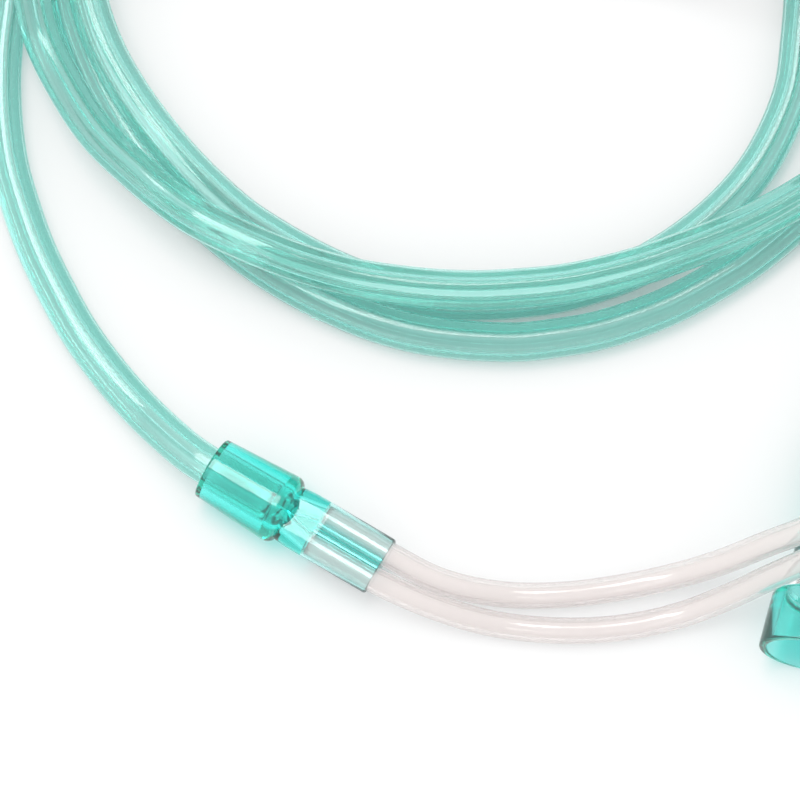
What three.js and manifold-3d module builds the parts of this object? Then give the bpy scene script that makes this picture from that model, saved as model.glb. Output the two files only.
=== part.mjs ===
// Nasal oxygen cannula: a star-bore supply tube lying in a loose coil, a Y connector, the two soft tubes that
// go round the ears, their slide adjuster, the nosepiece with its two prongs, and the funnel connector.
// Millimetres, +Z up. Everything lies on the plane z = 0.
import * as THREE from 'three';
import { mergeVertices } from 'three/addons/utils/BufferGeometryUtils.js';
import Module from 'manifold-3d';

const wasm = await Module();
wasm.setup();

// Clearances
const GAP = 0.3; // between pieces that touch on the real object
const FIT = 0.3; // round the supply tube in its sockets
const ARM_FIT = 0.15; // round a soft tube in its sockets

// Tubes
const SUPPLY_OD = 5.6;
const ARM_OD = 3.7;
const SUPPLY_SIDES = 10;
const ARM_SIDES = 8;

// Y connector
const Y_LENGTH = 27.6;
const Y_SOCKET_LENGTH = 12.6; // from the open end to the shoulder
const Y_MOUTH_OD = 9.0;
const Y_SHOULDER_OD = 10.3;
const Y_SHOULDER_ROUND = 0.9;
const Y_TWIN_LENGTH = 13.2;
const Y_TWIN_WALL = 0.3;
const Y_SOCKET_DEPTH = 10.5; // how far the supply tube goes in
const Y_ARM_DEPTH = 10.5; // how far each soft tube goes in
const Y_THROAT_BORE = 3.4;
const Y_ARM_THROAT_BORE = 2.2;
const Y_ARM_WEB = 0.1; // between the two arm bores, beyond their fits
const Y_ANGLE = -31; // degrees, of its axis from +X, seen from above

// Funnel connector
const FUNNEL_MOUTH_OD = 14.4;
const FUNNEL_MOUTH_WALL = 1.1;
const FUNNEL_BELL_LENGTH = 8.2;
const FUNNEL_BELL_TOP_OD = 13.1;
const FUNNEL_BODY_OD = 9.6; // under the bell
const FUNNEL_NECK_OD = 8.4; // at the tube end
const FUNNEL_LENGTH = 34;
const FUNNEL_SOCKET_DEPTH = 11;
const FUNNEL_SOCKET_BORE = SUPPLY_OD + 2 * FIT;
const FUNNEL_TAPER_DEPTH = 18;
const FUNNEL_TAPER_END_BORE = 7.2;
const FUNNEL_THROAT_BORE = 4;
const FUNNEL_MOUTH_AT = [71.2, -20.1]; // centre of the mouth, seen from above
const FUNNEL_HEADING = 79.3; // degrees, of its axis from mouth to tube, from +X

// Slide adjuster
const SLIDER_LENGTH = 10;
const SLIDER_FLOOR = 0.8; // wall under the tubes
const SLIDER_SIDE = 1.1;
const SLIDER_WEB = 0.8; // between its two bores
const SLIDER_ROUND = 2.2;
const SLIDER_AT = [100.6, 38]; // its middle, seen from above

// Nosepiece
const NOSE_LENGTH = 26;
const NOSE_WALL = 0.9;
const NOSE_SOCKET_DEPTH = 7;
const NOSE_DUCT_BORE = 2.4;
const PRONG_PITCH = 11.5;
const PRONG_OD = 4.6;
const PRONG_BORE = 2.6;
const PRONG_REACH = 12;
const PRONG_RISE = 3.2;
const TAB_WIDTH = 15;
const TAB_REACH = 8;
const TAB_THICK = 1.3;
const NOSE_AT = [74.5, 98]; // its middle, on the coil

// The frame's origin, under the middle of the Y connector and the nosepiece together; the lists below are
// measured from the Y connector's middle
const ORIGIN = [35.63, 50.08];

// Coil of the supply tube: a closed middle line with half its width at each point
const COIL_HEIGHT = 2 * SUPPLY_OD + 0.1;
const COIL_LINE = [
  [31.5, 29, 6.2], [48, 32.2, 6.4], [59.2, 39, 7.2], [67.2, 46.4, 7.4], [73.4, 56, 8.2], [76.6, 70, 8.1],
  [76.6, 84, 7.2], [74.6, 98, 6.1], [70.5, 112, 5.8], [63.5, 125, 5.8], [53, 137, 5.8], [39.5, 146, 5.8],
  [24, 149.6, 5.8], [8, 148, 5.8], [-7, 142, 5.8], [-19.5, 132, 5.8], [-29, 119, 5.8], [-35, 105, 6.0],
  [-36.6, 91, 7.2], [-34.6, 77.5, 7.6], [-29.4, 64, 6.8], [-18.6, 50.2, 6.8], [-7, 41.2, 5.8], [4.4, 34.3, 5.4],
  [16, 30.2, 5.6],
];
const COIL_STATIONS = 100;

const turn = (degrees) => (degrees * Math.PI) / 180;

// Solids
function toSolid(geometry) {
  const bare = geometry.index ? geometry.toNonIndexed() : geometry.clone();
  bare.deleteAttribute('normal');
  bare.deleteAttribute('uv');
  const merged = mergeVertices(bare, 1e-4);
  return new wasm.Manifold(new wasm.Mesh({
    numProp: 3,
    vertProperties: new Float32Array(merged.attributes.position.array),
    triVerts: new Uint32Array(merged.index.array),
  }));
}

function toGeometry(solid) {
  const mesh = solid.getMesh();
  const geometry = new THREE.BufferGeometry();
  geometry.setAttribute('position', new THREE.BufferAttribute(new Float32Array(mesh.vertProperties), 3));
  geometry.setIndex(new THREE.BufferAttribute(new Uint32Array(mesh.triVerts), 1));
  return geometry;
}

// A solid of revolution about X, from [x, radius] pairs that close on themselves or end on the axis
function turned(profile, sides) {
  const points = profile.map(([along, radius]) => new THREE.Vector2(radius, along));
  const lathe = new THREE.LatheGeometry(points, sides);
  return toSolid(lathe.rotateZ(-Math.PI / 2));
}

function rod(from, to, diameter, sides = 24) {
  return turned([[from, 0], [from, diameter / 2], [to, diameter / 2], [to, 0]], sides);
}

function cone(from, to, diameterFrom, diameterTo, sides = 24) {
  return turned([[from, 0], [from, diameterFrom / 2], [to, diameterTo / 2], [to, 0]], sides);
}

// Rings stand at the route's own points, so its list sets the steps
class Route extends THREE.CatmullRomCurve3 {
  constructor(points) {
    super(points.map((p) => new THREE.Vector3(...p)), false, 'centripetal');
  }

  getUtoTmapping(u) {
    return u;
  }
}

function tube(points, diameter, sides) {
  const section = new THREE.Shape();
  for (let i = 0; i < sides; i++) {
    const angle = (2 * Math.PI * i) / sides;
    section[i ? 'lineTo' : 'moveTo']((diameter / 2) * Math.cos(angle), (diameter / 2) * Math.sin(angle));
  }
  section.closePath();
  return new THREE.ExtrudeGeometry(section, {
    steps: points.length - 1, extrudePath: new Route(points), bevelEnabled: false,
  });
}

// A rounded slab from a flat outline, standing from z = 0 up
function slab(shape, height, segments = 6) {
  return toSolid(new THREE.ExtrudeGeometry(shape, { depth: height, bevelEnabled: false, curveSegments: segments }));
}

function roundedRectangle(width, height, round) {
  const shape = new THREE.Shape();
  const [w, h] = [width / 2, height / 2];
  shape.moveTo(w, -h + round);
  shape.lineTo(w, h - round);
  shape.absarc(w - round, h - round, round, 0, Math.PI / 2);
  shape.lineTo(-w + round, h);
  shape.absarc(-w + round, h - round, round, Math.PI / 2, Math.PI);
  shape.lineTo(-w, -h + round);
  shape.absarc(-w + round, -h + round, round, Math.PI, 1.5 * Math.PI);
  shape.lineTo(w - round, -h);
  shape.absarc(w - round, -h + round, round, 1.5 * Math.PI, 2 * Math.PI);
  return shape;
}

// Y connector, along +X from its supply socket, with its axis at its own z = 0
const ARM_BORE = ARM_OD + 2 * ARM_FIT;
const ARM_PITCH = ARM_BORE + Y_ARM_WEB;
const Y_AXIS_Z = Y_SHOULDER_OD / 2;

function yConnector() {
  const start = -Y_LENGTH / 2;
  const shoulder = start + Y_SOCKET_LENGTH;
  const twinStart = Y_LENGTH / 2 - Y_TWIN_LENGTH;
  const barrel = turned([
    [start, 0], [start, Y_MOUTH_OD / 2], [shoulder - Y_SHOULDER_ROUND, Y_SHOULDER_OD / 2],
    [shoulder - Y_SHOULDER_ROUND * 0.3, Y_SHOULDER_OD / 2 - Y_SHOULDER_ROUND * 0.3],
    [shoulder, Y_SHOULDER_OD / 2 - Y_SHOULDER_ROUND], [twinStart + 1.2, ARM_BORE / 2 + Y_TWIN_WALL],
    [twinStart + 1.2, 0],
  ], 32);
  const twinHeight = ARM_BORE + 2 * Y_TWIN_WALL;
  const twinWidth = ARM_PITCH + twinHeight;
  const twin = slab(roundedRectangle(twinWidth, twinHeight, twinHeight / 2 - 0.01), Y_TWIN_LENGTH, 10)
    .rotate([90, 0, 90]).translate([twinStart, 0, 0]);
  let solid = barrel.add(twin);
  const socketEnd = start + Y_SOCKET_DEPTH;
  const armEnd = Y_LENGTH / 2 - Y_ARM_DEPTH;
  solid = solid.subtract(rod(start - 1, socketEnd, SUPPLY_OD + 2 * FIT, 32));
  solid = solid.subtract(rod(socketEnd - 0.5, twinStart + 1, Y_THROAT_BORE));
  for (const side of [-1, 1]) {
    const offset = (side * ARM_PITCH) / 2;
    solid = solid.subtract(rod(armEnd, Y_LENGTH / 2 + 1, ARM_BORE).translate([0, offset, 0]));
    const run = armEnd + 0.5 - (twinStart + 0.6);
    const slant = Math.atan2(offset, run) * (180 / Math.PI);
    const length = Math.hypot(offset, run);
    solid = solid.subtract(rod(0, length, Y_ARM_THROAT_BORE).rotate([0, 0, slant]).translate([twinStart + 0.6, 0, 0]));
  }
  return toGeometry(solid);
}

// Funnel connector, along +X from its mouth to its tube end
function funnelConnector() {
  const mouthBore = FUNNEL_MOUTH_OD / 2 - FUNNEL_MOUTH_WALL;
  const lip = 0.4;
  return turned([
    [0, mouthBore], [0, FUNNEL_MOUTH_OD / 2 - lip], [lip, FUNNEL_MOUTH_OD / 2],
    [FUNNEL_BELL_LENGTH - 1, FUNNEL_BELL_TOP_OD / 2], [FUNNEL_BELL_LENGTH, FUNNEL_BELL_TOP_OD / 2 - 0.7],
    [FUNNEL_BELL_LENGTH + 0.4, FUNNEL_BODY_OD / 2], [FUNNEL_LENGTH - 0.5, FUNNEL_NECK_OD / 2],
    [FUNNEL_LENGTH, FUNNEL_NECK_OD / 2 - 0.5], [FUNNEL_LENGTH, FUNNEL_SOCKET_BORE / 2],
    [FUNNEL_LENGTH - FUNNEL_SOCKET_DEPTH, FUNNEL_SOCKET_BORE / 2],
    [FUNNEL_LENGTH - FUNNEL_SOCKET_DEPTH, FUNNEL_THROAT_BORE / 2],
    [FUNNEL_TAPER_DEPTH, FUNNEL_THROAT_BORE / 2], [FUNNEL_TAPER_DEPTH, FUNNEL_TAPER_END_BORE / 2],
    [0, mouthBore],
  ], 36);
}

// It lies on its mouth's edge and its neck's edge
const FUNNEL_LEAN = Math.atan2((FUNNEL_MOUTH_OD - FUNNEL_NECK_OD) / 2, FUNNEL_LENGTH - 0.9);
const FUNNEL_MOUTH_Z = (FUNNEL_MOUTH_OD / 2) * Math.cos(FUNNEL_LEAN) + 0.4 * Math.sin(FUNNEL_LEAN);

function placeFunnel(object) {
  object.position.set(...FUNNEL_MOUTH_AT, FUNNEL_MOUTH_Z);
  object.rotation.set(0, FUNNEL_LEAN, turn(FUNNEL_HEADING), 'ZYX');
  object.updateMatrix();
  return object;
}

function placeConnector(object) {
  object.position.set(0, 0, Y_AXIS_Z);
  object.rotation.set(0, 0, turn(Y_ANGLE));
  object.updateMatrix();
  return object;
}

// A point of a placed piece in the common frame
function at(place, point) {
  const holder = place(new THREE.Object3D());
  return new THREE.Vector3(...point).applyMatrix4(holder.matrix).toArray();
}

// Slide adjuster, its bores along Y, standing on z = 0
const SLIDER_PITCH = ARM_BORE + SLIDER_WEB;
const SLIDER_HEIGHT = ARM_BORE + 2 * SLIDER_FLOOR;
const SLIDER_BORE_Z = SLIDER_HEIGHT / 2;

function slideAdjuster() {
  const width = SLIDER_PITCH + ARM_BORE + 2 * SLIDER_SIDE;
  let solid = slab(roundedRectangle(width, SLIDER_HEIGHT, SLIDER_ROUND), SLIDER_LENGTH, 6)
    .rotate([90, 0, 0]).translate([0, SLIDER_LENGTH / 2, SLIDER_BORE_Z]);
  for (const side of [-1, 1]) {
    const bore = rod(-SLIDER_LENGTH, SLIDER_LENGTH, ARM_BORE).rotate([0, 0, 90]);
    solid = solid.subtract(bore.translate([(side * SLIDER_PITCH) / 2, 0, SLIDER_BORE_Z]));
  }
  return toGeometry(solid);
}

// Nosepiece: its duct runs along Y, its prongs towards -X, its back lies on its own z = 0
const NOSE_OD = ARM_BORE + 2 * NOSE_WALL;
const NOSE_Z = COIL_HEIGHT + GAP;

function prongRoute(extra) {
  const rise = (share) => NOSE_OD / 2 + PRONG_RISE * share * share;
  const points = [[0.4 + extra, 0, NOSE_OD / 2]];
  for (const share of [0, 0.25, 0.5, 0.75, 1]) {
    points.push([-NOSE_OD / 2 - PRONG_REACH * share, 0, rise(share)]);
  }
  if (extra) points.push([-NOSE_OD / 2 - PRONG_REACH - extra, 0, rise(1) + 0.4 * extra]);
  return points;
}

function nosepiece() {
  const barSides = 28;
  // Turned half a facet, so that a flat lies in the tab's thickness and not an edge on its back
  let solid = rod(-NOSE_LENGTH / 2, NOSE_LENGTH / 2, NOSE_OD, barSides)
    .rotate([180 / barSides, 0, 90]).translate([0, 0, NOSE_OD / 2]);
  const tab = slab(roundedRectangle(2 * TAB_REACH + NOSE_OD, TAB_WIDTH, 4), TAB_THICK);
  const half = slab(roundedRectangle(2 * TAB_REACH + NOSE_OD, TAB_WIDTH + 2, 0.5), TAB_THICK + 2)
    .translate([-TAB_REACH - NOSE_OD / 2, 0, -1]);
  solid = solid.add(tab.subtract(half));
  const sides = [-1, 1].map((side) => (side * PRONG_PITCH) / 2);
  for (const y of sides) solid = solid.add(toSolid(tube(prongRoute(0), PRONG_OD, 18)).translate([0, y, 0]));
  solid = solid.subtract(rod(-NOSE_LENGTH, NOSE_LENGTH, NOSE_DUCT_BORE).rotate([0, 0, 90]).translate([0, 0, NOSE_OD / 2]));
  for (const y of sides) solid = solid.subtract(toSolid(tube(prongRoute(1), PRONG_BORE, 12)).translate([0, y, 0]));
  for (const side of [0, 180]) {
    const socket = rod(NOSE_LENGTH / 2 - NOSE_SOCKET_DEPTH, NOSE_LENGTH / 2 + 1, ARM_BORE);
    solid = solid.subtract(socket.rotate([0, 0, 90 + side]).translate([0, 0, NOSE_OD / 2]));
  }
  return toGeometry(solid);
}

// Supply tube: from its seat in the Y connector to the coil, and from the coil to its seat in the funnel
const LEAD = [
  at(placeConnector, [-Y_LENGTH / 2 + Y_SOCKET_DEPTH - GAP, 0, 0]),
  at(placeConnector, [-Y_LENGTH / 2 - 0.5, 0, 0]),
  [-15.2, 9.5, 4.7], [-21.3, 15.4, 3.3], [-26.5, 21.5, 2.8], [-30.75, 27.5, 2.8], [-34.1, 33.6, 2.8],
  [-36.9, 39.5, 2.8], [-39.1, 45.6, 2.8], [-40.8, 51.5, 2.8], [-41.75, 57.8, 2.8], [-42.1, 64, 2.8],
  [-41.9, 69.7, 2.8], [-41.4, 74.5, 2.8],
];
const TAIL = [
  at(placeFunnel, [FUNNEL_LENGTH - FUNNEL_SOCKET_DEPTH + GAP, 0, 0]),
  at(placeFunnel, [FUNNEL_LENGTH + 1, 0, 0]),
  [78.9, 22, 3.3], [81.6, 32, 2.9], [84.6, 42, 2.9], [86.9, 53, 3.2], [87.4, 64, 4.2], [85.6, 74, 5.8],
  [82.6, 83, 7.4],
];

// Soft tubes: the inner and the outer one of the pair, from the Y connector to the nosepiece
const SLIDE_X = [SLIDER_AT[0] - SLIDER_PITCH / 2, SLIDER_AT[0] + SLIDER_PITCH / 2];
const NOSE_DUCT_Z = NOSE_Z + NOSE_OD / 2;
const ARM_INNER = [
  at(placeConnector, [Y_LENGTH / 2 - Y_ARM_DEPTH + GAP, ARM_PITCH / 2, 0]),
  at(placeConnector, [Y_LENGTH / 2 - 2.5, ARM_PITCH / 2, 0]),
  at(placeConnector, [Y_LENGTH / 2 + 0.5, ARM_PITCH / 2, 0]),
  [20.2, -8.8, 3.6], [28.6, -10.3, 1.95], [37.1, -10.4, 1.95], [45, -9.4, 1.95], [52.5, -8, 2.8], [59, -6.7, 6],
  [65, -5.2, 10.6], [70.9, -3.6, 14.2], [76, -1.2, 15.2], [82, 2.5, 13.2], [88.5, 8.6, 8.4], [93.8, 15.4, 4.6],
  [97, 22.6, SLIDER_BORE_Z + 0.1], [SLIDE_X[0], 29, SLIDER_BORE_Z], [SLIDE_X[0], 100, SLIDER_BORE_Z],
  [97.2, 110, 2.1], [93.6, 121.5, 1.95], [86.5, 132.5, 1.95], [76.2, 141.2, 2.6], [64, 146.8, 6.2],
  [52, 149.8, 12.4], [46, 149.6, 13.7], [36, 148.6, 13.7], [24, 147.5, 13.6], [8.6, 146, 13.6], [-6, 140.2, 13.6],
  [-18, 130.6, 13.6], [-27.1, 118, 13.6], [-32, 105.5, 13.6], [-31.6, 96.5, 13.7], [-25.6, 90.2, 13],
  [-16.5, 88.6, 6], [-8.5, 92.4, 2.2], [-1, 101, 1.95], [8, 112, 1.95], [20, 121, 1.95], [33, 125.6, 1.95],
  [42, 125.4, 4.5], [48.5, 124.6, 10.6], [54.5, 123.6, 14], [63.5, 121.4, 14.8], [71.6, 117.2, NOSE_DUCT_Z + 0.1],
  [NOSE_AT[0], NOSE_AT[1] + NOSE_LENGTH / 2 + 1.5, NOSE_DUCT_Z],
  [NOSE_AT[0], NOSE_AT[1] + NOSE_LENGTH / 2 - NOSE_SOCKET_DEPTH + GAP, NOSE_DUCT_Z],
];
const ARM_OUTER = [
  at(placeConnector, [Y_LENGTH / 2 - Y_ARM_DEPTH + GAP, -ARM_PITCH / 2, 0]),
  at(placeConnector, [Y_LENGTH / 2 - 2.5, -ARM_PITCH / 2, 0]),
  at(placeConnector, [Y_LENGTH / 2 + 0.5, -ARM_PITCH / 2, 0]),
  [18.9, -12.3, 3.7], [27.5, -14.5, 1.95], [37.1, -15.5, 1.95], [46, -15, 1.95], [53.5, -13.4, 2.4], [60, -11.5, 5.4],
  [65.8, -9.6, 9.8], [71.2, -7.8, 12.9], [77.4, -5.6, 13.6], [84.6, -2.4, 11.6], [92, 3.8, 7.2], [98.6, 12, 4.1],
  [102.4, 21, SLIDER_BORE_Z + 0.1], [SLIDE_X[1], 29, SLIDER_BORE_Z], [SLIDE_X[1], 100, SLIDER_BORE_Z],
  [102, 111.5, 2.1], [97.6, 124, 1.95], [89.4, 135.8, 1.95], [78, 145.2, 2.6], [64.8, 151.2, 6.2],
  [52, 154, 12.4], [45, 153.8, 13.7], [36, 152.7, 13.7], [24, 151.6, 13.6], [7.4, 150, 13.6], [-8.2, 143.9, 13.6],
  [-21.2, 133.4, 13.6], [-31, 120, 13.6], [-36.2, 106, 13.6], [-35.4, 94.2, 13.7], [-27.6, 86, 13.2],
  [-16.5, 84, 6], [-6, 83.6, 2.2], [9, 82.6, 1.95], [24, 81.8, 1.95], [38, 81, 2], [50, 80.2, 5], [58, 79.4, 10.6],
  [64, 78.7, 13.6], [69.5, 78.4, 14.7], [73.2, 80, NOSE_DUCT_Z + 0.1],
  [NOSE_AT[0], NOSE_AT[1] - NOSE_LENGTH / 2 - 1.5, NOSE_DUCT_Z],
  [NOSE_AT[0], NOSE_AT[1] - NOSE_LENGTH / 2 + NOSE_SOCKET_DEPTH - GAP, NOSE_DUCT_Z],
];

// The coil's outer shape, cut clear of the two tube ends that run into it
function supplyCoil() {
  const line = new THREE.CatmullRomCurve3(COIL_LINE.map(([x, y]) => new THREE.Vector3(x, y, 0)), true);
  const width = new THREE.CatmullRomCurve3(COIL_LINE.map(([, , half]) => new THREE.Vector3(half, 0, 0)), true);
  const edge = (side) => {
    const points = [];
    for (let i = 0; i < COIL_STATIONS; i++) {
      const share = i / COIL_STATIONS;
      const along = line.getTangent(share);
      const half = side * width.getPoint(share).x;
      const middle = line.getPoint(share);
      points.push(new THREE.Vector2(middle.x + along.y * half, middle.y - along.x * half));
    }
    return points;
  };
  const shape = new THREE.Shape(edge(1));
  shape.holes.push(new THREE.Path(edge(-1)));
  let solid = slab(shape, COIL_HEIGHT);
  for (const route of [LEAD, TAIL]) {
    const [last, before] = [route[route.length - 1], route[route.length - 2]].map((p) => new THREE.Vector3(...p));
    const past = last.clone().add(last.clone().sub(before).setLength(GAP)).toArray();
    solid = solid.subtract(toSolid(tube([...route, past], SUPPLY_OD + 2 * GAP, SUPPLY_SIDES)));
  }
  return toGeometry(solid);
}

// Materials
function plastic(color, roughness, opacity) {
  return new THREE.MeshStandardMaterial({ color, roughness, metalness: 0, opacity, transparent: opacity < 1 });
}
const greenTube = () => plastic(0xa6d9c9, 0.22, 0.6);
const clearTube = () => plastic(0xeee6e4, 0.24, 0.55);
const turquoise = () => plastic(0x4fd6c4, 0.18, 0.6);
const softClear = () => plastic(0xe6e9e8, 0.3, 0.6);

const group = new THREE.Group();
group.position.set(-ORIGIN[0], -ORIGIN[1], 0);

function add(name, geometry, material) {
  const mesh = new THREE.Mesh(geometry, material);
  mesh.name = name;
  group.add(mesh);
  return mesh;
}

placeConnector(add('y_connector', yConnector(), turquoise()));
placeFunnel(add('funnel_connector', toGeometry(funnelConnector()), turquoise()));
add('supply_tube_lead', tube(LEAD, SUPPLY_OD, SUPPLY_SIDES), greenTube());
add('supply_tube_coil', supplyCoil(), greenTube());
add('supply_tube_tail', tube(TAIL, SUPPLY_OD, SUPPLY_SIDES), greenTube());
add('soft_tube_inner', tube(ARM_INNER, ARM_OD, ARM_SIDES), clearTube());
add('soft_tube_outer', tube(ARM_OUTER, ARM_OD, ARM_SIDES), clearTube());
add('slide_adjuster', slideAdjuster(), softClear()).position.set(...SLIDER_AT, 0);
add('nosepiece', nosepiece(), softClear()).position.set(...NOSE_AT, NOSE_Z);

export default group;
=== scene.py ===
import math

import bmesh
import bpy
from mathutils import Matrix, Vector


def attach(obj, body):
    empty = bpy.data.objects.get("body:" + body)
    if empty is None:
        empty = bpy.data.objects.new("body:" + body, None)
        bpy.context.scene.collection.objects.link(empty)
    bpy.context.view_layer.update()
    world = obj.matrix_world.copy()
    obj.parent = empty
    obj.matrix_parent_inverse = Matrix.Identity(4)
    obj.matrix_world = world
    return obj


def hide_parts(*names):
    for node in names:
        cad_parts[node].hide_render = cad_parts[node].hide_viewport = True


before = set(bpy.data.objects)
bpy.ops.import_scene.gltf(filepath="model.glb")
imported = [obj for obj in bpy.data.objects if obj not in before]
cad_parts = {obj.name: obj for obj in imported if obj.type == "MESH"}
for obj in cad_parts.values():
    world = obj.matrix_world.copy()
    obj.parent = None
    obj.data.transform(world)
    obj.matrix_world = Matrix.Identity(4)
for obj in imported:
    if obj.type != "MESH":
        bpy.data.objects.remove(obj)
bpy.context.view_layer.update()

ORIGIN = (35.63, 50.08)
BODY = "cannula"
SLIDE = "slide_adjuster"

# Clearances and tubes, as in the part's source
GAP = 0.3
FIT = 0.3
ARM_FIT = 0.15
SUPPLY_OD = 5.6
ARM_OD = 3.7
ARM_BORE_OD = 2.3
ARM_BORE = ARM_OD + 2 * ARM_FIT
ARM_PITCH = ARM_BORE + 0.1
STAR_LOBES = 5
STAR_RADII = (1.15, 1.95)  # of the supply tube's star bore, in its hollows and on its points
RING_STEP = 1.1  # along a tube, from one ring of its mesh to the next
DENSE_STEP = 0.4  # of the line that the rings are measured along
UV_LENGTH = 100  # of tube for one unit of its UV map

# Y connector
Y_LENGTH = 27.6
Y_SOCKET_LENGTH = 12.6
Y_MOUTH_OD = 9.0
Y_SHOULDER_OD = 10.3
Y_TWIN_WALL = 0.3
Y_SOCKET_DEPTH = 10.5
Y_ARM_DEPTH = 10.5
CHANNEL_RADII = (1.55, 1.15)  # of the slanted channels, at the supply tube and at the soft tubes
CHANNEL_OVERLAP = 0.4
MOUTH_FLARE = 0.75
Y_ANGLE = math.radians(-31)
Y_AXIS_Z = 5.15

# Funnel connector
FUNNEL_MOUTH_OD = 14.4
FUNNEL_MOUTH_WALL = 1.1
FUNNEL_BELL_LENGTH = 8.2
FUNNEL_BELL_TOP_OD = 13.1
FUNNEL_BODY_OD = 9.6
FUNNEL_TAPER_DEPTH = 18
FUNNEL_TAPER_END = 7.2
FUNNEL_THROAT = 4
FUNNEL_NECK_OD = 8.4
FUNNEL_LENGTH = 34
FUNNEL_SOCKET_DEPTH = 11
FUNNEL_MOUTH_AT = (71.2, -20.1)
FUNNEL_HEADING = math.radians(79.3)
FUNNEL_LEAN = math.atan2((FUNNEL_MOUTH_OD - FUNNEL_NECK_OD) / 2, FUNNEL_LENGTH - 0.9)
FUNNEL_MOUTH_Z = FUNNEL_MOUTH_OD / 2 * math.cos(FUNNEL_LEAN) + 0.4 * math.sin(FUNNEL_LEAN)

# Slide adjuster and nosepiece
SLIDER_LENGTH = 10
SLIDER_SIDE = 1.1
SLIDER_PITCH = ARM_BORE + 0.8
SLIDER_BORE_Z = (ARM_BORE + 1.6) / 2
SLIDER_AT = (100.6, 38)
RIB_COUNT = 4
RIB_PITCH = 1.9
RIB_WIDTH = 0.55  # half of it, and the next is half a rib's length
RIB_LENGTH = 3.6
RIB_HEIGHT = 0.45
NOSE_LENGTH = 26
NOSE_OD = ARM_BORE + 1.8
NOSE_SOCKET_DEPTH = 7
NOSE_DUCT_BORE = 2.4
PRONG_PITCH = 11.5
PRONG_OD = 4.6
PRONG_BORE = 2.6
PRONG_REACH = 12
PRONG_RISE = 3.2
PRONG_TAPER = 0.1
TAB_WIDTH = 15
TAB_REACH = 8
TAB_THICK = 1.3
TAB_ROUND = 0.3
BLEND_VOXEL = 0.26
BLEND_PASSES = 6
NOSE_AT = (74.5, 98)
NOSE_Z = 11.6

# Camera: the photograph's view
VIEW_TARGET = (14.54, 18.1, 0)
VIEW_WIDTH = 112.7
VIEW_ELEVATION = math.radians(76)
VIEW_DISTANCE = 900
SENSOR = 36


def place(point):
    """A point of the lists, in metres in the shared frame."""
    x, y, z = point
    return Vector(((x - ORIGIN[0]) / 1000, (y - ORIGIN[1]) / 1000, z / 1000))


CONNECTOR = Matrix.Translation((0, 0, Y_AXIS_Z)) @ Matrix.Rotation(Y_ANGLE, 4, "Z")
FUNNEL = (
    Matrix.Translation((*FUNNEL_MOUTH_AT, FUNNEL_MOUTH_Z))
    @ Matrix.Rotation(FUNNEL_HEADING, 4, "Z")
    @ Matrix.Rotation(FUNNEL_LEAN, 4, "Y")
)


def at(matrix, point):
    return tuple(matrix @ Vector(point))


# Routes. The supply tube leaves the Y connector, goes three times round and ends in the funnel connector.
LEAD = [
    at(CONNECTOR, (-Y_LENGTH / 2 + Y_SOCKET_DEPTH - GAP, 0, 0)),
    at(CONNECTOR, (-Y_LENGTH / 2 - 0.5, 0, 0)), (-15.2, 9.5, 4.7), (-21.3, 15.4, 3.3),
    (-26.5, 21.5, 2.8), (-30.75, 27.5, 2.8), (-34.1, 33.6, 2.8), (-36.9, 39.5, 2.8), (-39.1, 45.6, 2.8),
    (-40.8, 51.5, 2.8), (-41.75, 57.8, 2.8), (-42.1, 64, 2.8), (-41.9, 69.7, 2.8), (-41.4, 74.5, 2.8),
    (-40.6, 84, 2.8), (-39.6, 94, 2.8),
]
FIRST_TURN = [
    (80.2, 85, 2.8), (81.8, 73, 2.8), (81.2, 62.5, 2.8), (78.8, 54.5, 2.8), (74.6, 47.6, 2.8),
    (69.15, 42.2, 2.8), (63.6, 37.6, 2.8), (58.2, 34.15, 2.8), (52.8, 31.2, 2.8), (47.4, 29, 2.8),
    (42.06, 27.35, 2.8), (36.7, 26.4, 2.8), (31.45, 25.8, 2.8), (25.95, 25.9, 2.8), (20.6, 26.4, 2.8),
    (15.25, 27.4, 2.8), (9.9, 29.1, 2.8), (4.44, 31.5, 2.8), (-1, 34.4, 2.8), (-6.44, 38, 2.8),
    (-11.5, 42.1, 2.8), (-16.45, 46.9, 2.8), (-20.7, 52, 2.8), (-24.9, 58.1, 2.8), (-28.1, 63.9, 2.8),
    (-30.5, 69.7, 2.8), (-32.2, 75.5, 2.8), (-33, 84, 2.8), (-33.2, 94, 2.8),
]
SECOND_TURN = [
    (72.1, 85, 2.8), (72, 76, 2.8), (71.4, 69.5, 2.8), (70.5, 63.2, 2.8), (68.2, 56.9, 2.8),
    (64.7, 50.65, 2.8), (59.7, 44.9, 2.8), (53.6, 39.9, 2.8), (47.4, 36.3, 2.8), (41.8, 34.2, 2.8),
    (36.5, 32.8, 2.8), (31.2, 32.1, 2.8), (25.8, 31.8, 2.8), (21.6, 31.9, 2.8), (17.4, 32.5, 2.8),
    (11.7, 33.9, 2.8), (6.4, 35.9, 2.8), (1.2, 38.3, 3.4), (-3.3, 40.6, 4.8), (-7.85, 43.5, 5.6),
    (-14.35, 49.35, 6.6), (-19.5, 55.2, 7.2), (-23.7, 61.2, 7.2), (-27.1, 67.4, 7.2),
    (-29.3, 73.4, 7.5), (-31.3, 83, 8.1), (-32.1, 93, 8.4),
]
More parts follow.
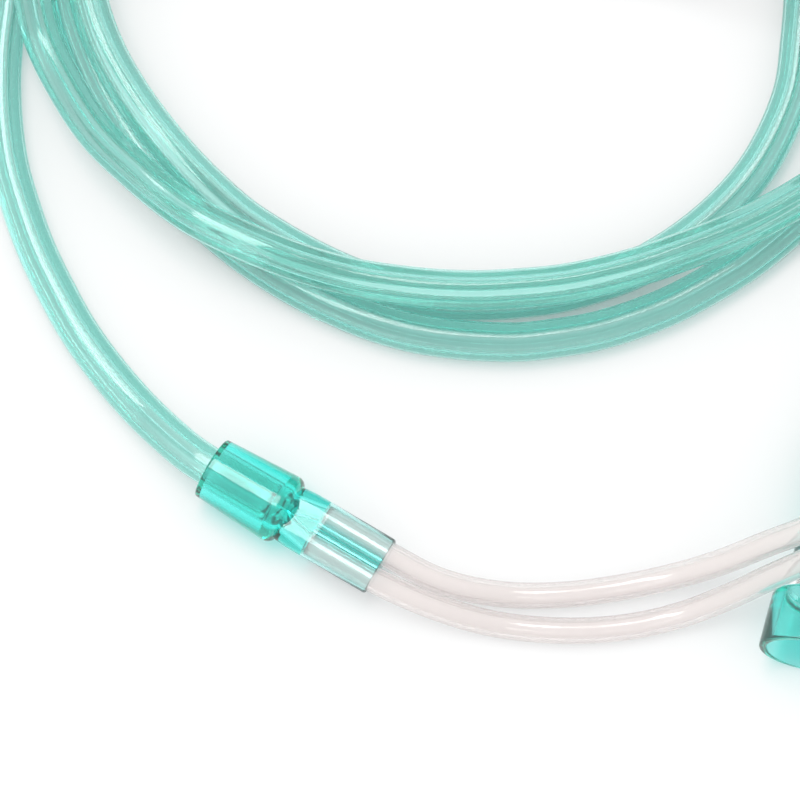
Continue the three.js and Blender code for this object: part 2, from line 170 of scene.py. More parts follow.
THIRD_TURN = [
    (75.4, 87, 8.4), (79, 80, 8.4), (81.4, 73, 8.4), (82.2, 66, 8.4), (81.6, 59.2, 8.4),
    (79.3, 53.4, 8.4), (75.6, 48.9, 8.4), (70.9, 45.5, 8.4), (64.8, 42, 8.4), (58.6, 39.2, 8.4),
    (53.1, 37.1, 8.4), (48.6, 35.5, 8.4), (43.2, 34, 8.4), (37.4, 32.8, 8.4), (31.45, 32.2, 8.4),
    (25.8, 31.9, 8.4), (20, 32.06, 8.4), (14.2, 32.65, 8.4), (8.2, 33.6, 8.5), (0.46, 35.7, 8.9),
    (-6.6, 38.5, 9.2), (-13.2, 41.9, 8.6), (-17.6, 45, 8), (-23, 49.8, 7.3), (-28.4, 55.5, 6.3),
    (-33.2, 63.4, 4.8), (-36.2, 69.9, 4.6), (-37.5, 75.2, 6), (-38.2, 84, 8), (-38.4, 94, 8.4),
]
TAIL = [
    (82.6, 83, 7.4), (85.6, 74, 5.8), (87.4, 64, 4.2), (86.9, 53, 3.2), (84.6, 42, 2.9),
    (81.6, 32, 2.9), (78.9, 22, 3.3), at(FUNNEL, (FUNNEL_LENGTH + 1, 0, 0)),
    at(FUNNEL, (FUNNEL_LENGTH - FUNNEL_SOCKET_DEPTH + GAP, 0, 0)),
]

# Where no turn is in the view they lie two and two round this middle line, taken clockwise from the left
ARCH_LINE = [
    (-35, 105), (-29, 119), (-19.5, 132), (-7, 142), (8, 148), (24, 149.6), (39.5, 146), (53, 137),
    (63.5, 125), (70.5, 112), (74.6, 98),
]
ARCH_HALF = SUPPLY_OD / 2 + 0.05
LOW = SUPPLY_OD / 2
HIGH = SUPPLY_OD * 1.5


def arch(side, height):
    """The arch's line moved outwards (side 1) or inwards (side -1) by half a pitch."""
    points = []
    last = len(ARCH_LINE) - 1
    for i, (x, y) in enumerate(ARCH_LINE):
        before = Vector(ARCH_LINE[max(i - 1, 0)])
        after = Vector(ARCH_LINE[min(i + 1, last)])
        along = (after - before).normalized()
        points.append((x - along.y * side * ARCH_HALF, y + along.x * side * ARCH_HALF, height))
    return points


SUPPLY_ROUTE = (
    LEAD + arch(1, LOW) + FIRST_TURN + arch(-1, LOW) + SECOND_TURN + arch(-1, HIGH) + THIRD_TURN
    + arch(1, HIGH) + TAIL
)

SLIDE_X = (SLIDER_AT[0] - SLIDER_PITCH / 2, SLIDER_AT[0] + SLIDER_PITCH / 2)
NOSE_DUCT_Z = NOSE_Z + NOSE_OD / 2
ARM_INNER = [
    at(CONNECTOR, (Y_LENGTH / 2 - Y_ARM_DEPTH + GAP, ARM_PITCH / 2, 0)),
    at(CONNECTOR, (Y_LENGTH / 2 - 2.5, ARM_PITCH / 2, 0)),
    at(CONNECTOR, (Y_LENGTH / 2 + 0.5, ARM_PITCH / 2, 0)), (20.2, -8.8, 3.6), (28.6, -10.3, 1.95),
    (37.1, -10.4, 1.95), (45, -9.4, 1.95), (52.5, -8, 2.8), (59, -6.7, 6), (65, -5.2, 10.6),
    (70.9, -3.6, 14.2), (76, -1.2, 15.2), (82, 2.5, 13.2), (88.5, 8.6, 8.4), (93.8, 15.4, 4.6),
    (97, 22.6, SLIDER_BORE_Z + 0.1), (SLIDE_X[0], 29, SLIDER_BORE_Z), (SLIDE_X[0], 100, SLIDER_BORE_Z),
    (97.2, 110, 2.1), (93.6, 121.5, 1.95), (86.5, 132.5, 1.95), (76.2, 141.2, 2.6), (64, 146.8, 6.2),
    (52, 149.8, 12.4), (46, 149.6, 13.7), (36, 148.6, 13.7), (24, 147.5, 13.6), (8.6, 146, 13.6),
    (-6, 140.2, 13.6), (-18, 130.6, 13.6), (-27.1, 118, 13.6), (-32, 105.5, 13.6), (-31.6, 96.5, 13.7),
    (-25.6, 90.2, 13), (-16.5, 88.6, 6), (-8.5, 92.4, 2.2), (-1, 101, 1.95), (8, 112, 1.95),
    (20, 121, 1.95), (33, 125.6, 1.95), (42, 125.4, 4.5), (48.5, 124.6, 10.6), (54.5, 123.6, 14),
    (63.5, 121.4, 14.8), (71.6, 117.2, NOSE_DUCT_Z + 0.1),
    (NOSE_AT[0], NOSE_AT[1] + NOSE_LENGTH / 2 + 1.5, NOSE_DUCT_Z),
    (NOSE_AT[0], NOSE_AT[1] + NOSE_LENGTH / 2 - NOSE_SOCKET_DEPTH + GAP, NOSE_DUCT_Z),
]
ARM_OUTER = [
    at(CONNECTOR, (Y_LENGTH / 2 - Y_ARM_DEPTH + GAP, -ARM_PITCH / 2, 0)),
    at(CONNECTOR, (Y_LENGTH / 2 - 2.5, -ARM_PITCH / 2, 0)),
    at(CONNECTOR, (Y_LENGTH / 2 + 0.5, -ARM_PITCH / 2, 0)), (18.9, -12.3, 3.7), (27.5, -14.5, 1.95),
    (37.1, -15.5, 1.95), (46, -15, 1.95), (53.5, -13.4, 2.4), (60, -11.5, 5.4), (65.8, -9.6, 9.8),
    (71.2, -7.8, 12.9), (77.4, -5.6, 13.6), (84.6, -2.4, 11.6), (92, 3.8, 7.2), (98.6, 12, 4.1),
    (102.4, 21, SLIDER_BORE_Z + 0.1), (SLIDE_X[1], 29, SLIDER_BORE_Z), (SLIDE_X[1], 100, SLIDER_BORE_Z),
    (102, 111.5, 2.1), (97.6, 124, 1.95), (89.4, 135.8, 1.95), (78, 145.2, 2.6), (64.8, 151.2, 6.2),
    (52, 154, 12.4), (45, 153.8, 13.7), (36, 152.7, 13.7), (24, 151.6, 13.6), (7.4, 150, 13.6),
    (-8.2, 143.9, 13.6), (-21.2, 133.4, 13.6), (-31, 120, 13.6), (-36.2, 106, 13.6),
    (-35.4, 94.2, 13.7), (-27.6, 86, 13.2), (-16.5, 84, 6), (-6, 83.6, 2.2), (9, 82.6, 1.95),
    (24, 81.8, 1.95), (38, 81, 2), (50, 80.2, 5), (58, 79.4, 10.6), (64, 78.7, 13.6),
    (69.5, 78.4, 14.7), (73.2, 80, NOSE_DUCT_Z + 0.1),
    (NOSE_AT[0], NOSE_AT[1] - NOSE_LENGTH / 2 - 1.5, NOSE_DUCT_Z),
    (NOSE_AT[0], NOSE_AT[1] - NOSE_LENGTH / 2 + NOSE_SOCKET_DEPTH - GAP, NOSE_DUCT_Z),
]


# Meshes
def link(name, bm, smooth=True):
    mesh = bpy.data.meshes.new(name)
    bm.to_mesh(mesh)
    bm.free()
    for face in mesh.polygons:
        face.use_smooth = smooth
    obj = bpy.data.objects.new(name, mesh)
    bpy.context.scene.collection.objects.link(obj)
    return obj


def smooth_line(points, step):
    """Centripetal Catmull-Rom through the points, sampled a step apart."""
    points = [Vector(p) for p in points]
    ends = [2 * points[0] - points[1], *points, 2 * points[-1] - points[-2]]
    dense = [points[0]]
    for p0, p1, p2, p3 in zip(ends, ends[1:], ends[2:], ends[3:]):
        t1 = max((p1 - p0).length, 1e-6) ** 0.5
        t2 = t1 + max((p2 - p1).length, 1e-6) ** 0.5
        t3 = t2 + max((p3 - p2).length, 1e-6) ** 0.5
        count = max(2, math.ceil((p2 - p1).length / DENSE_STEP))
        for i in range(1, count + 1):
            t = t1 + (t2 - t1) * i / count
            a1 = p0 * ((t1 - t) / t1) + p1 * (t / t1)
            a2 = p1 * ((t2 - t) / (t2 - t1)) + p2 * ((t - t1) / (t2 - t1))
            a3 = p2 * ((t3 - t) / (t3 - t2)) + p3 * ((t - t2) / (t3 - t2))
            b1 = a1 * ((t2 - t) / t2) + a2 * (t / t2)
            b2 = a2 * ((t3 - t) / (t3 - t1)) + a3 * ((t - t1) / (t3 - t1))
            dense.append(b1 * ((t2 - t) / (t2 - t1)) + b2 * ((t - t1) / (t2 - t1)))
    lengths = [0.0]
    for before, after in zip(dense, dense[1:]):
        lengths.append(lengths[-1] + (after - before).length)
    count = round(lengths[-1] / step)
    line = []
    j = 0
    for i in range(count + 1):
        wanted = lengths[-1] * i / count
        while j < len(dense) - 2 and lengths[j + 1] < wanted:
            j += 1
        share = (wanted - lengths[j]) / max(lengths[j + 1] - lengths[j], 1e-9)
        line.append(dense[j].lerp(dense[j + 1], min(max(share, 0), 1)))
    return line, lengths[-1]


def hollow_tube(name, route, outer, inner, step):
    """A tube with a bore. outer and inner are the section's radii at equal angles, in millimetres."""
    line, length = smooth_line(route, step)
    sides = len(outer)
    bm = bmesh.new()
    uv = bm.loops.layers.uv.new("along")
    along = (line[1] - line[0]).normalized()
    across = along.cross(Vector((0, 0, 1))).normalized()
    rings = []
    for i, centre in enumerate(line):
        before = line[max(i - 1, 0)]
        after = line[min(i + 1, len(line) - 1)]
        turned = (after - before).normalized()
        across = (along.rotation_difference(turned) @ across).normalized()
        along = turned
        up = along.cross(across)
        ring = []
        for radii in (outer, inner):
            for k, radius in enumerate(radii):
                angle = 2 * math.pi * k / sides
                offset = (across * math.cos(angle) + up * math.sin(angle)) * radius
                ring.append(bm.verts.new(place(centre + offset)))
        rings.append(ring)
    for i, (ring, following) in enumerate(zip(rings, rings[1:])):
        for shell in (0, 1):
            for k in range(sides):
                a, b = shell * sides + k, shell * sides + (k + 1) % sides
                corners = [
                    (ring, a, i, k), (ring, b, i, k + 1),
                    (following, b, i + 1, k + 1), (following, a, i + 1, k),
                ]
                if shell:
                    corners.reverse()
                face = bm.faces.new([r[v] for r, v, _, _ in corners])
                for loop, (_, _, row, column) in zip(face.loops, corners):
                    loop[uv].uv = (column / sides, row * step / UV_LENGTH)
    for ring, flip in ((rings[0], True), (rings[-1], False)):
        for k in range(sides):
            b = (k + 1) % sides
            corners = [ring[k], ring[b], ring[sides + b], ring[sides + k]]
            if flip:
                corners.reverse()
            bm.faces.new(corners).smooth = False
    bmesh.ops.recalc_face_normals(bm, faces=bm.faces)
    obj = link(name, bm)
    return obj, [place(p) for p in line], length / 1000


def star_section(sides, lobes, hollow, point):
    """The star bore's radii: sharp ribs reach in, rounded hollows reach out."""
    radii = []
    for k in range(sides):
        wave = 0.5 + 0.5 * math.cos(2 * math.pi * lobes * k / sides)
        radii.append(hollow + (point - hollow) * wave)
    return radii


def turned(profile, sides):
    """A solid of revolution about X, from (along, radius) pairs that end on the axis or close up."""
    bm = bmesh.new()
    rings = []
    for along, radius in profile:
        if radius < 1e-6:
            rings.append([bm.verts.new((along, 0, 0))] * sides)
            continue
        angles = [2 * math.pi * k / sides for k in range(sides)]
        rings.append([bm.verts.new((along, radius * math.cos(a), radius * math.sin(a))) for a in angles])
    closed = profile[0][1] > 1e-6
    pairs = list(zip(rings, rings[1:] + rings[:1])) if closed else list(zip(rings, rings[1:]))
    for ring, following in pairs:
        for k in range(sides):
            corners = [ring[k], ring[(k + 1) % sides], following[(k + 1) % sides], following[k]]
            corners = list(dict.fromkeys(corners))
            if len(corners) > 2:
                bm.faces.new(corners)
    bmesh.ops.recalc_face_normals(bm, faces=bm.faces)
    return bm


def rounded(corners, segments=5):
    """A profile with its (along, radius, round) corners turned into arcs."""
    made = []
    count = len(corners)
    for i, (along, radius, fillet) in enumerate(corners):
        here = Vector((along, radius))
        if fillet == 0:
            made.append(tuple(here))
            continue
        before = Vector(corners[i - 1][:2])
        after = Vector(corners[(i + 1) % count][:2])
        start = here + (before - here).normalized() * fillet
        end = here + (after - here).normalized() * fillet
        for k in range(segments + 1):
            t = k / segments
            made.append(tuple(start * (1 - t) ** 2 + here * 2 * t * (1 - t) + end * t * t))
    return made


def oblong(width, height, segments=20):
    """A flat outline with round ends, across Y and Z."""
    points = []
    half = (width - height) / 2
    for side in (1, -1):
        for k in range(segments + 1):
            angle = side * math.pi / 2 - math.pi * k / segments
            points.append((side * half + height / 2 * math.cos(angle), height / 2 * math.sin(angle)))
    return points


def lofted(sections):
    """A closed solid through (along, outline) sections that have as many points each."""
    bm = bmesh.new()
    rings = [[bm.verts.new((along, y, z)) for y, z in outline] for along, outline in sections]
    count = len(rings[0])
    for ring, following in zip(rings, rings[1:]):
        for k in range(count):
            bm.faces.new([ring[k], ring[(k + 1) % count], following[(k + 1) % count], following[k]])
    bm.faces.new(rings[0])
    bm.faces.new(rings[-1])
    bmesh.ops.recalc_face_normals(bm, faces=bm.faces)
    return bm


def scratch(bm, matrix=None):
    if matrix is not None:
        bm.transform(matrix)
    return link("cutter", bm)


def combined(obj, others, operation):
    """Joins the others to a solid, or cuts them out of it, and removes them."""
    for other in others:
        modifier = obj.modifiers.new("cut", "BOOLEAN")
        modifier.operation = operation
        modifier.solver = "EXACT"
        modifier.object = other
    applied(obj)
    for other in others:
        bpy.data.objects.remove(other)
    return obj


def applied(obj):
    """Makes what the modifiers show the object's own mesh."""
    graph = bpy.context.evaluated_depsgraph_get()
    mesh = bpy.data.meshes.new_from_object(obj.evaluated_get(graph))
    obj.modifiers.clear()
    obj.data = mesh
    return obj


def finished(obj, name, matrix, crease=28):
    """Names a solid made in millimetres and puts it in place, smooth but for its real edges."""
    obj.name = name
    obj.data.name = name
    for vertex in obj.data.vertices:
        vertex.co = place(matrix @ vertex.co)
    for face in obj.data.polygons:
        face.use_smooth = True
    obj.data.set_sharp_from_angle(angle=math.radians(crease))
    return obj


def bored(along_from, along_to, radius_from, radius_to=None, sides=48):
    """A rod or cone along X, to cut a bore with."""
    radius_to = radius_from if radius_to is None else radius_to
    profile = [(along_from, 0), (along_from, radius_from), (along_to, radius_to), (along_to, 0)]
    return turned(profile, sides)


# Connectors
def y_connector():
    """One moulding: the socket's barrel, a neck, and the two soft tubes' sockets side by side."""
    start = -Y_LENGTH / 2
    end = Y_LENGTH / 2
    shoulder = start + Y_SOCKET_LENGTH
    socket_end = start + Y_SOCKET_DEPTH
    arm_end = end - Y_ARM_DEPTH
    mouth, top = Y_MOUTH_OD / 2, Y_SHOULDER_OD / 2
    twin_height = ARM_BORE + 2 * Y_TWIN_WALL
    twin_width = ARM_PITCH + twin_height
    barrel = rounded([
        (start, 0, 0), (start, mouth, 0.35), (shoulder - 0.2, top, 1.2), (shoulder + 0.3, top - 1.5, 0.5),
        (shoulder + 1.2, twin_height / 2, 0), (shoulder + 1.2, 0, 0),
    ], 8)
    solid = scratch(turned(barrel, 96))
    twin = [
        (shoulder - 1.5, 0.6), (shoulder + 0.4, 0.15), (shoulder + 2.2, 0),
        (end - 0.3, 0), (end - 0.08, 0.09), (end, 0.3),
    ]
    outlines = [(x, oblong(twin_width - 2 * inset, twin_height - 2 * inset)) for x, inset in twin]
    solid = combined(solid, [scratch(lofted(outlines))], "UNION")
    socket = SUPPLY_OD / 2 + FIT
    cutters = [
        scratch(bored(start - 1, socket_end, socket, sides=96)),
        scratch(bored(start - 0.2, start + 0.7, socket + MOUTH_FLARE, socket, 96)),
    ]
    for side in (-1, 1):
        offset = side * ARM_PITCH / 2
        cutters.append(scratch(bored(arm_end, end + 1, ARM_BORE / 2), Matrix.Translation((0, offset, 0))))
        run = arm_end + CHANNEL_OVERLAP - (socket_end - CHANNEL_OVERLAP)
        inner = side * ARM_PITCH * 0.2
        slant = math.atan2(offset - inner, run)
        channel = bored(0, math.hypot(run, offset - inner), *CHANNEL_RADII)
        foot = Matrix.Translation((socket_end - CHANNEL_OVERLAP, inner, 0))
        cutters.append(scratch(channel, foot @ Matrix.Rotation(slant, 4, "Z")))
    solid = combined(solid, cutters, "DIFFERENCE")
    return finished(solid, "y_connector_moulding", CONNECTOR)


def funnel_connector():
    """The bell for the oxygen outlet, its shoulder, and the neck with the supply tube's socket."""
    mouth = FUNNEL_MOUTH_OD / 2
    bell = FUNNEL_BELL_TOP_OD / 2
    body = FUNNEL_BODY_OD / 2
    neck = FUNNEL_NECK_OD / 2
    throat = FUNNEL_THROAT / 2
    bore = mouth - FUNNEL_MOUTH_WALL
    socket = SUPPLY_OD / 2 + FIT
    deep = FUNNEL_LENGTH - FUNNEL_SOCKET_DEPTH
    profile = rounded([
        (0, bore, 0.3), (0, mouth, 0.5), (FUNNEL_BELL_LENGTH, bell, 0.7),
        (FUNNEL_BELL_LENGTH + 0.4, body, 0.6), (FUNNEL_LENGTH, neck, 0.5), (FUNNEL_LENGTH, socket, 0.4),
        (deep, socket, 0.2), (deep, throat, 0.3), (FUNNEL_TAPER_DEPTH, throat, 0.3),
        (FUNNEL_TAPER_DEPTH, FUNNEL_TAPER_END / 2, 0.4),
    ])
    return finished(scratch(turned(profile, 128)), "funnel_moulding", FUNNEL, 40)


def grip_ribs(top):
    """The slide adjuster's finger ribs: a row of long low bumps, by Geometry Nodes."""
    tree = bpy.data.node_groups.new("grip_ribs", "GeometryNodeTree")
    values = {
        "Count": (RIB_COUNT, "NodeSocketInt"), "Pitch": (RIB_PITCH, "NodeSocketFloat"),
        "Width": (RIB_WIDTH, "NodeSocketFloat"), "Length": (RIB_LENGTH, "NodeSocketFloat"),
        "Height": (RIB_HEIGHT, "NodeSocketFloat"),
        "First": (-RIB_PITCH * (RIB_COUNT - 1) / 2, "NodeSocketFloat"),
        "Level": (top, "NodeSocketFloat"), "Material": (CLEAR_FINISH, "NodeSocketMaterial"),
    }
    sockets = {}
    for name, (_, kind) in values.items():
        sockets[name] = tree.interface.new_socket(name, in_out="INPUT", socket_type=kind)
    tree.interface.new_socket("Geometry", in_out="OUTPUT", socket_type="NodeSocketGeometry")
    nodes, links = tree.nodes, tree.links
    given = nodes.new("NodeGroupInput").outputs
    start = nodes.new("ShaderNodeCombineXYZ")
    links.new(given["First"], start.inputs["X"])
    links.new(given["Level"], start.inputs["Z"])
    apart = nodes.new("ShaderNodeCombineXYZ")
    links.new(given["Pitch"], apart.inputs["X"])
    row = nodes.new("GeometryNodeMeshLine")
    links.new(given["Count"], row.inputs["Count"])
    links.new(start.outputs["Vector"], row.inputs["Start Location"])
    links.new(apart.outputs["Vector"], row.inputs["Offset"])
    bump = nodes.new("GeometryNodeMeshUVSphere")
    bump.inputs["Segments"].default_value = 32
    bump.inputs["Rings"].default_value = 20
    size = nodes.new("ShaderNodeCombineXYZ")
    for name, axis in (("Width", "X"), ("Length", "Y"), ("Height", "Z")):
        links.new(given[name], size.inputs[axis])
    shaped = nodes.new("GeometryNodeTransform")
    links.new(bump.outputs["Mesh"], shaped.inputs["Geometry"])
    links.new(size.outputs["Vector"], shaped.inputs["Scale"])
    placed = nodes.new("GeometryNodeInstanceOnPoints")
    links.new(row.outputs["Mesh"], placed.inputs["Points"])
    links.new(shaped.outputs["Geometry"], placed.inputs["Instance"])
    real = nodes.new("GeometryNodeRealizeInstances")
    links.new(placed.outputs["Instances"], real.inputs["Geometry"])
    coloured = nodes.new("GeometryNodeSetMaterial")
    links.new(real.outputs["Geometry"], coloured.inputs["Geometry"])
    links.new(given["Material"], coloured.inputs["Material"])
    links.new(coloured.outputs["Geometry"], nodes.new("NodeGroupOutput").inputs["Geometry"])
    obj = link("cutter", bmesh.new())
    modifier = obj.modifiers.new("ribs", "NODES")
    modifier.node_group = tree
    for name, (value, _) in values.items():
        modifier[sockets[name].identifier] = value
    return applied(obj)


def slide_adjuster():
    """A small block with round corners that grips both soft tubes, with ribs for the fingers."""
    width = SLIDER_PITCH + ARM_BORE + 2 * SLIDER_SIDE
    height = 2 * SLIDER_BORE_Z
    sections = []
    ends = ((0.5, 0.5), (0.47, 0.24), (0.42, 0.07), (0.36, 0))
    for along, inset in [(-share, inset) for share, inset in ends] + list(reversed(ends)):
        sections.append((along * SLIDER_LENGTH, oblong(width - 2 * inset, height - 2 * inset, 12)))
    solid = scratch(lofted(sections))
    solid = combined(solid, [grip_ribs(height / 2)], "UNION")
    bores = []
    for side in (-1, 1):
        bore = bored(-SLIDER_LENGTH, SLIDER_LENGTH, ARM_BORE / 2)
        bores.append(scratch(bore, Matrix.Translation((0, side * SLIDER_PITCH / 2, 0))))
    solid = combined(solid, bores, "DIFFERENCE")
    where = Matrix.Translation((*SLIDER_AT, SLIDER_BORE_Z)) @ Matrix.Rotation(math.pi / 2, 4, "Z")
    return finished(solid, "slide_adjuster_moulding", where)


def prong(extra, radius, sides):
    """One prong's curved peg, or the bore in it, which runs on by extra at both ends."""
    rise = [(0.4 + extra, NOSE_OD / 2)]
    for share in (0, 0.25, 0.5, 0.75, 1):
        rise.append((-NOSE_OD / 2 - PRONG_REACH * share, NOSE_OD / 2 + PRONG_RISE * share * share))
    if extra:
        rise.append((-NOSE_OD / 2 - PRONG_REACH - extra, NOSE_OD / 2 + PRONG_RISE + 0.4 * extra))
    line, _ = smooth_line([(x, 0, z) for x, z in rise], 0.5)
    bm = bmesh.new()
    rings = []
    for i, centre in enumerate(line):
        along = (line[min(i + 1, len(line) - 1)] - line[max(i - 1, 0)]).normalized()
        up = along.cross(Vector((0, 1, 0))).normalized()
        left = (len(line) - 1 - i) * 0.5
        size = radius
        if not extra:
            size *= 1 - PRONG_TAPER * max(0, 1 - left / 6)
            size -= 0.35 * max(0, 1 - left / 0.6) ** 2
        ring = []
        for k in range(sides):
            angle = 2 * math.pi * k / sides
            offset = Vector((0, math.cos(angle), 0)) + up * math.sin(angle)
            ring.append(bm.verts.new(centre + offset * size))
        rings.append(ring)
    for ring, following in zip(rings, rings[1:]):
        for k in range(sides):
            bm.faces.new([ring[k], ring[(k + 1) % sides], following[(k + 1) % sides], following[k]])
    bm.faces.new(rings[0])
    bm.faces.new(rings[-1])
    bmesh.ops.recalc_face_normals(bm, faces=bm.faces)
    return bm


def nosepiece():
    """The moulded bar with its prongs and lip tab, blended by a fine remesh, then bored."""
    half = NOSE_LENGTH / 2
    radius = NOSE_OD / 2
    quarter = Matrix.Rotation(math.pi / 2, 4, "Z")
    lift = Matrix.Translation((0, 0, radius))
    bar = rounded([
        (-half, 0, 0), (-half, radius - 0.25, 0.4), (-half + 2, radius, 1), (half - 2, radius, 1),
        (half, radius - 0.25, 0.4), (half, 0, 0),
    ])
    solid = scratch(turned(bar, 64), lift @ quarter)
    outline = []
    reach = TAB_REACH + radius
    for k in range(33):
        angle = -math.pi / 2 + math.pi * k / 32
        bulge = math.cos(angle) ** 0.6 if k not in (0, 32) else 0
        outline.append((0.5 + (reach - 0.5) * bulge, TAB_WIDTH / 2 * math.sin(angle)))
    tab = bmesh.new()
    levels = []
    tab_top = TAB_THICK - TAB_ROUND
    for z, inset in ((0.02, TAB_ROUND), (TAB_ROUND, 0), (tab_top, 0), (TAB_THICK, TAB_ROUND)):
        levels.append([tab.verts.new((x - inset * (x > 1), y * (1 - inset / 12), z)) for x, y in outline])
    for low, high in zip(levels, levels[1:]):
        for k in range(len(low)):
            tab.faces.new([low[k], low[(k + 1) % len(low)], high[(k + 1) % len(low)], high[k]])
    tab.faces.new(levels[0])
    tab.faces.new(levels[-1])
    bmesh.ops.recalc_face_normals(tab, faces=tab.faces)
    sides = [side * PRONG_PITCH / 2 for side in (-1, 1)]
    parts = [scratch(tab)]
    for y in sides:
        parts.append(scratch(prong(0, PRONG_OD / 2, 32), Matrix.Translation((0, y, 0))))
    solid = combined(solid, parts, "UNION")
    remesh = solid.modifiers.new("fine", "REMESH")
    remesh.mode = "VOXEL"
    remesh.voxel_size = BLEND_VOXEL
    soften = solid.modifiers.new("soften", "SMOOTH")
    soften.factor = 0.5
    soften.iterations = BLEND_PASSES
    applied(solid)
    cutters = [scratch(bored(-NOSE_LENGTH, NOSE_LENGTH, NOSE_DUCT_BORE / 2), lift @ quarter)]
    for y in sides:
        cutters.append(scratch(prong(1, PRONG_BORE / 2, 32), Matrix.Translation((0, y, 0))))
    for side in (-1, 1):
        socket = bored(half - NOSE_SOCKET_DEPTH, half + 1, ARM_BORE / 2)
        cutters.append(scratch(socket, lift @ Matrix.Rotation(side * math.pi / 2, 4, "Z")))
    solid = combined(solid, cutters, "DIFFERENCE")
    return finished(solid, "nosepiece_moulding", Matrix.Translation((*NOSE_AT, NOSE_Z)), 35)


# Materials
PVC_IOR = 1.5
STREAK_EDGES = (0.35, 0.65)
GLOSS_SPREAD = (0.7, 1.4)
WAVE_DEPTH = 0.0002


def material(name):
    made = bpy.data.materials.new(name)
    made.use_nodes = True
    made.node_tree.nodes.clear()
    return made, made.node_tree.nodes, made.node_tree.links


def clear_plastic(name, tints, roughness, clearness, absorption, shadow, flow, wave):
    """Clear PVC. tints are two close colours that the flow of the melt leaves, clearness is how little it
    clouds, absorption is per metre in red, green and blue, flow is the pattern's coordinates and stretch,
    and wave is how far the skin is from dead smooth."""
    made, nodes, links = material(name)
    output = nodes.new("ShaderNodeOutputMaterial")
    glass = nodes.new("ShaderNodeBsdfPrincipled")
    glass.inputs["IOR"].default_value = PVC_IOR
    glass.inputs["Transmission Weight"].default_value = clearness
    source, stretch = flow
    where = nodes.new("ShaderNodeTexCoord")
    mapping = nodes.new("ShaderNodeMapping")
    mapping.inputs["Scale"].default_value = stretch
    streaks = nodes.new("ShaderNodeTexNoise")
    streaks.inputs["Scale"].default_value = 1
    streaks.inputs["Detail"].default_value = 3
    links.new(where.outputs[source], mapping.inputs["Vector"])
    links.new(mapping.outputs["Vector"], streaks.inputs["Vector"])
    tint = nodes.new("ShaderNodeValToRGB")
    for stop, edge, colour in zip(tint.color_ramp.elements, STREAK_EDGES, tints):
        stop.position = edge
        stop.color = (*colour, 1)
    links.new(streaks.outputs["Fac"], tint.inputs["Fac"])
    links.new(tint.outputs["Color"], glass.inputs["Base Color"])
    gloss = nodes.new("ShaderNodeMapRange")
    gloss.inputs["To Min"].default_value = roughness * GLOSS_SPREAD[0]
    gloss.inputs["To Max"].default_value = roughness * GLOSS_SPREAD[1]
    links.new(streaks.outputs["Fac"], gloss.inputs["Value"])
    links.new(gloss.outputs["Result"], glass.inputs["Roughness"])
    bump = nodes.new("ShaderNodeBump")
    bump.inputs["Strength"].default_value = wave
    bump.inputs["Distance"].default_value = WAVE_DEPTH
    links.new(streaks.outputs["Fac"], bump.inputs["Height"])
    links.new(bump.outputs["Normal"], glass.inputs["Normal"])
    shade = nodes.new("ShaderNodeBsdfTransparent")
    shade.inputs["Color"].default_value = (*shadow, 1)
    bounce = nodes.new("ShaderNodeBsdfTransparent")
    bounce.inputs["Color"].default_value = (*shadow, 1)
    path = nodes.new("ShaderNodeLightPath")
    shaded = nodes.new("ShaderNodeMixShader")
    bounced = nodes.new("ShaderNodeMixShader")
    links.new(path.outputs["Is Shadow Ray"], shaded.inputs["Fac"])
    links.new(glass.outputs["BSDF"], shaded.inputs[1])
    links.new(shade.outputs["BSDF"], shaded.inputs[2])
    links.new(path.outputs["Is Diffuse Ray"], bounced.inputs["Fac"])
    links.new(shaded.outputs["Shader"], bounced.inputs[1])
    links.new(bounce.outputs["BSDF"], bounced.inputs[2])
    links.new(bounced.outputs["Shader"], output.inputs["Surface"])
    depth = nodes.new("ShaderNodeVolumeAbsorption")
    density = max(absorption) * 1.1
    depth.inputs["Color"].default_value = (*[1 - part / density for part in absorption], 1)
    depth.inputs["Density"].default_value = density
    links.new(depth.outputs["Volume"], output.inputs["Volume"])
    return made


ALONG_TUBE = ("UV", (18, 0.04, 1))
ALL_ROUND = ("Object", (220, 220, 220))
SUPPLY_FINISH = clear_plastic(
    "supply_tubing", ((0.78, 0.935, 0.91), (0.965, 0.975, 0.965)), 0.05, 0.95, (230, 18, 38),
    (0.97, 0.85, 0.86), ALONG_TUBE, 0.03,
)
ARM_FINISH = clear_plastic(
    "soft_tubing", ((0.97, 0.93, 0.915), (0.99, 0.95, 0.94)), 0.09, 0.78, (18, 26, 27),
    (0.9, 0.9, 0.9), ALONG_TUBE, 0.04,
)
CONNECTOR_FINISH = clear_plastic(
    "connector_plastic", ((0.88, 0.99, 0.975), (0.94, 0.995, 0.985)), 0.04, 0.97, (540, 16, 36),
    (1.0, 0.88, 0.89), ALL_ROUND, 0.03,
)
CLEAR_FINISH = clear_plastic(
    "clear_plastic", ((0.92, 0.94, 0.94), (0.97, 0.98, 0.98)), 0.16, 0.8, (40, 25, 28),
    (0.9, 0.92, 0.92), ALL_ROUND, 0.08,
)


def dress(obj, finish):
    obj.data.materials.clear()
    obj.data.materials.append(finish)


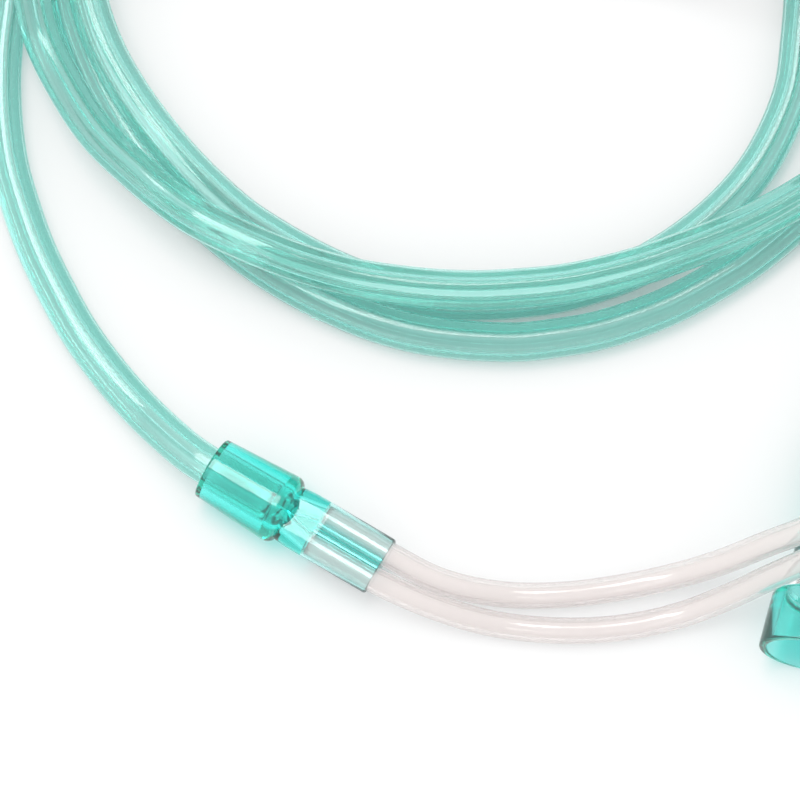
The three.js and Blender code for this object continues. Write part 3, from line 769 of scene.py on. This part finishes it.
# Cords
SUPPLY_SIDES = 30
ARM_SIDES = 24
supply_tube, supply_line, supply_length = hollow_tube(
    "supply_tube", SUPPLY_ROUTE, [SUPPLY_OD / 2] * SUPPLY_SIDES,
    star_section(SUPPLY_SIDES, STAR_LOBES, *STAR_RADII), RING_STEP,
)
arm_tubes = {
    name: hollow_tube(name, route, [ARM_OD / 2] * ARM_SIDES, [ARM_BORE_OD / 2] * ARM_SIDES, RING_STEP)
    for name, route in (("soft_tube_upper", ARM_INNER), ("soft_tube_lower", ARM_OUTER))
}
dress(supply_tube, SUPPLY_FINISH)
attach(supply_tube, BODY)
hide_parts("supply_tube_lead", "supply_tube_coil", "supply_tube_tail")
for name, node in (("soft_tube_upper", "soft_tube_inner"), ("soft_tube_lower", "soft_tube_outer")):
    obj = arm_tubes[name][0]
    dress(obj, ARM_FINISH)
    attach(obj, BODY)
    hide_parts(node)

funnel = funnel_connector()
slider = slide_adjuster()
for obj, node, body, slot, finish in (
    (y_connector(), "y_connector", BODY, "connector_plastic", CONNECTOR_FINISH),
    (funnel, "funnel_connector", BODY, "connector_plastic", CONNECTOR_FINISH),
    (nosepiece(), "nosepiece", BODY, "clear_plastic", CLEAR_FINISH),
    (slider, "slide_adjuster", SLIDE, "clear_plastic", CLEAR_FINISH),
):
    dress(obj, finish)
    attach(obj, body)
    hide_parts(node)

for side, name in ((1, "soft_tube_upper"), (-1, "soft_tube_lower")):
    obj, line, length = arm_tubes[name]

# Floor, light and camera
FLOOR_HALF = 3
PAPER_GREY = 0.9
WORLD_STRENGTH = 0.8

floor_mesh = bmesh.new()
bmesh.ops.create_grid(floor_mesh, x_segments=1, y_segments=1, size=FLOOR_HALF)
floor = link("floor", floor_mesh, smooth=False)
floor_finish, nodes, links = material("floor_paper")
output = nodes.new("ShaderNodeOutputMaterial")
paper = nodes.new("ShaderNodeBsdfPrincipled")
paper.inputs["Base Color"].default_value = (PAPER_GREY, PAPER_GREY, PAPER_GREY, 1)
paper.inputs["Roughness"].default_value = 0.9
paper.inputs["Specular IOR Level"].default_value = 0.1
links.new(paper.outputs["BSDF"], output.inputs["Surface"])
dress(floor, floor_finish)

world = bpy.data.worlds.new("studio")
world.use_nodes = True
world.node_tree.nodes["Background"].inputs["Color"].default_value = (1, 1, 1, 1)
world.node_tree.nodes["Background"].inputs["Strength"].default_value = WORLD_STRENGTH
bpy.context.scene.world = world


def softbox(name, location, size, power, target=(0, 0, 0)):
    light = bpy.data.lights.new(name, "AREA")
    light.shape = "RECTANGLE"
    light.size, light.size_y = size
    light.energy = power
    obj = bpy.data.objects.new(name, light)
    obj.location = location
    obj.rotation_euler = (Vector(target) - Vector(location)).to_track_quat("-Z", "Y").to_euler()
    bpy.context.scene.collection.objects.link(obj)
    return obj


softbox("overhead_softbox", location=(-0.2, 0.13, 0.9), size=(0.6, 0.3), power=4)

camera_data = bpy.data.cameras.new("camera")
camera_data.sensor_width = SENSOR
camera_data.lens = SENSOR * VIEW_DISTANCE / VIEW_WIDTH
camera = bpy.data.objects.new("camera", camera_data)
back = Vector((0, -math.cos(VIEW_ELEVATION), math.sin(VIEW_ELEVATION)))
camera.location = place(VIEW_TARGET) + back * VIEW_DISTANCE / 1000
camera.rotation_euler = (-back).to_track_quat("-Z", "Y").to_euler()
camera_data.clip_start = 0.01
camera_data.clip_end = 20
bpy.context.scene.collection.objects.link(camera)
bpy.context.scene.camera = camera
bpy.context.scene.view_settings.view_transform = "Standard"
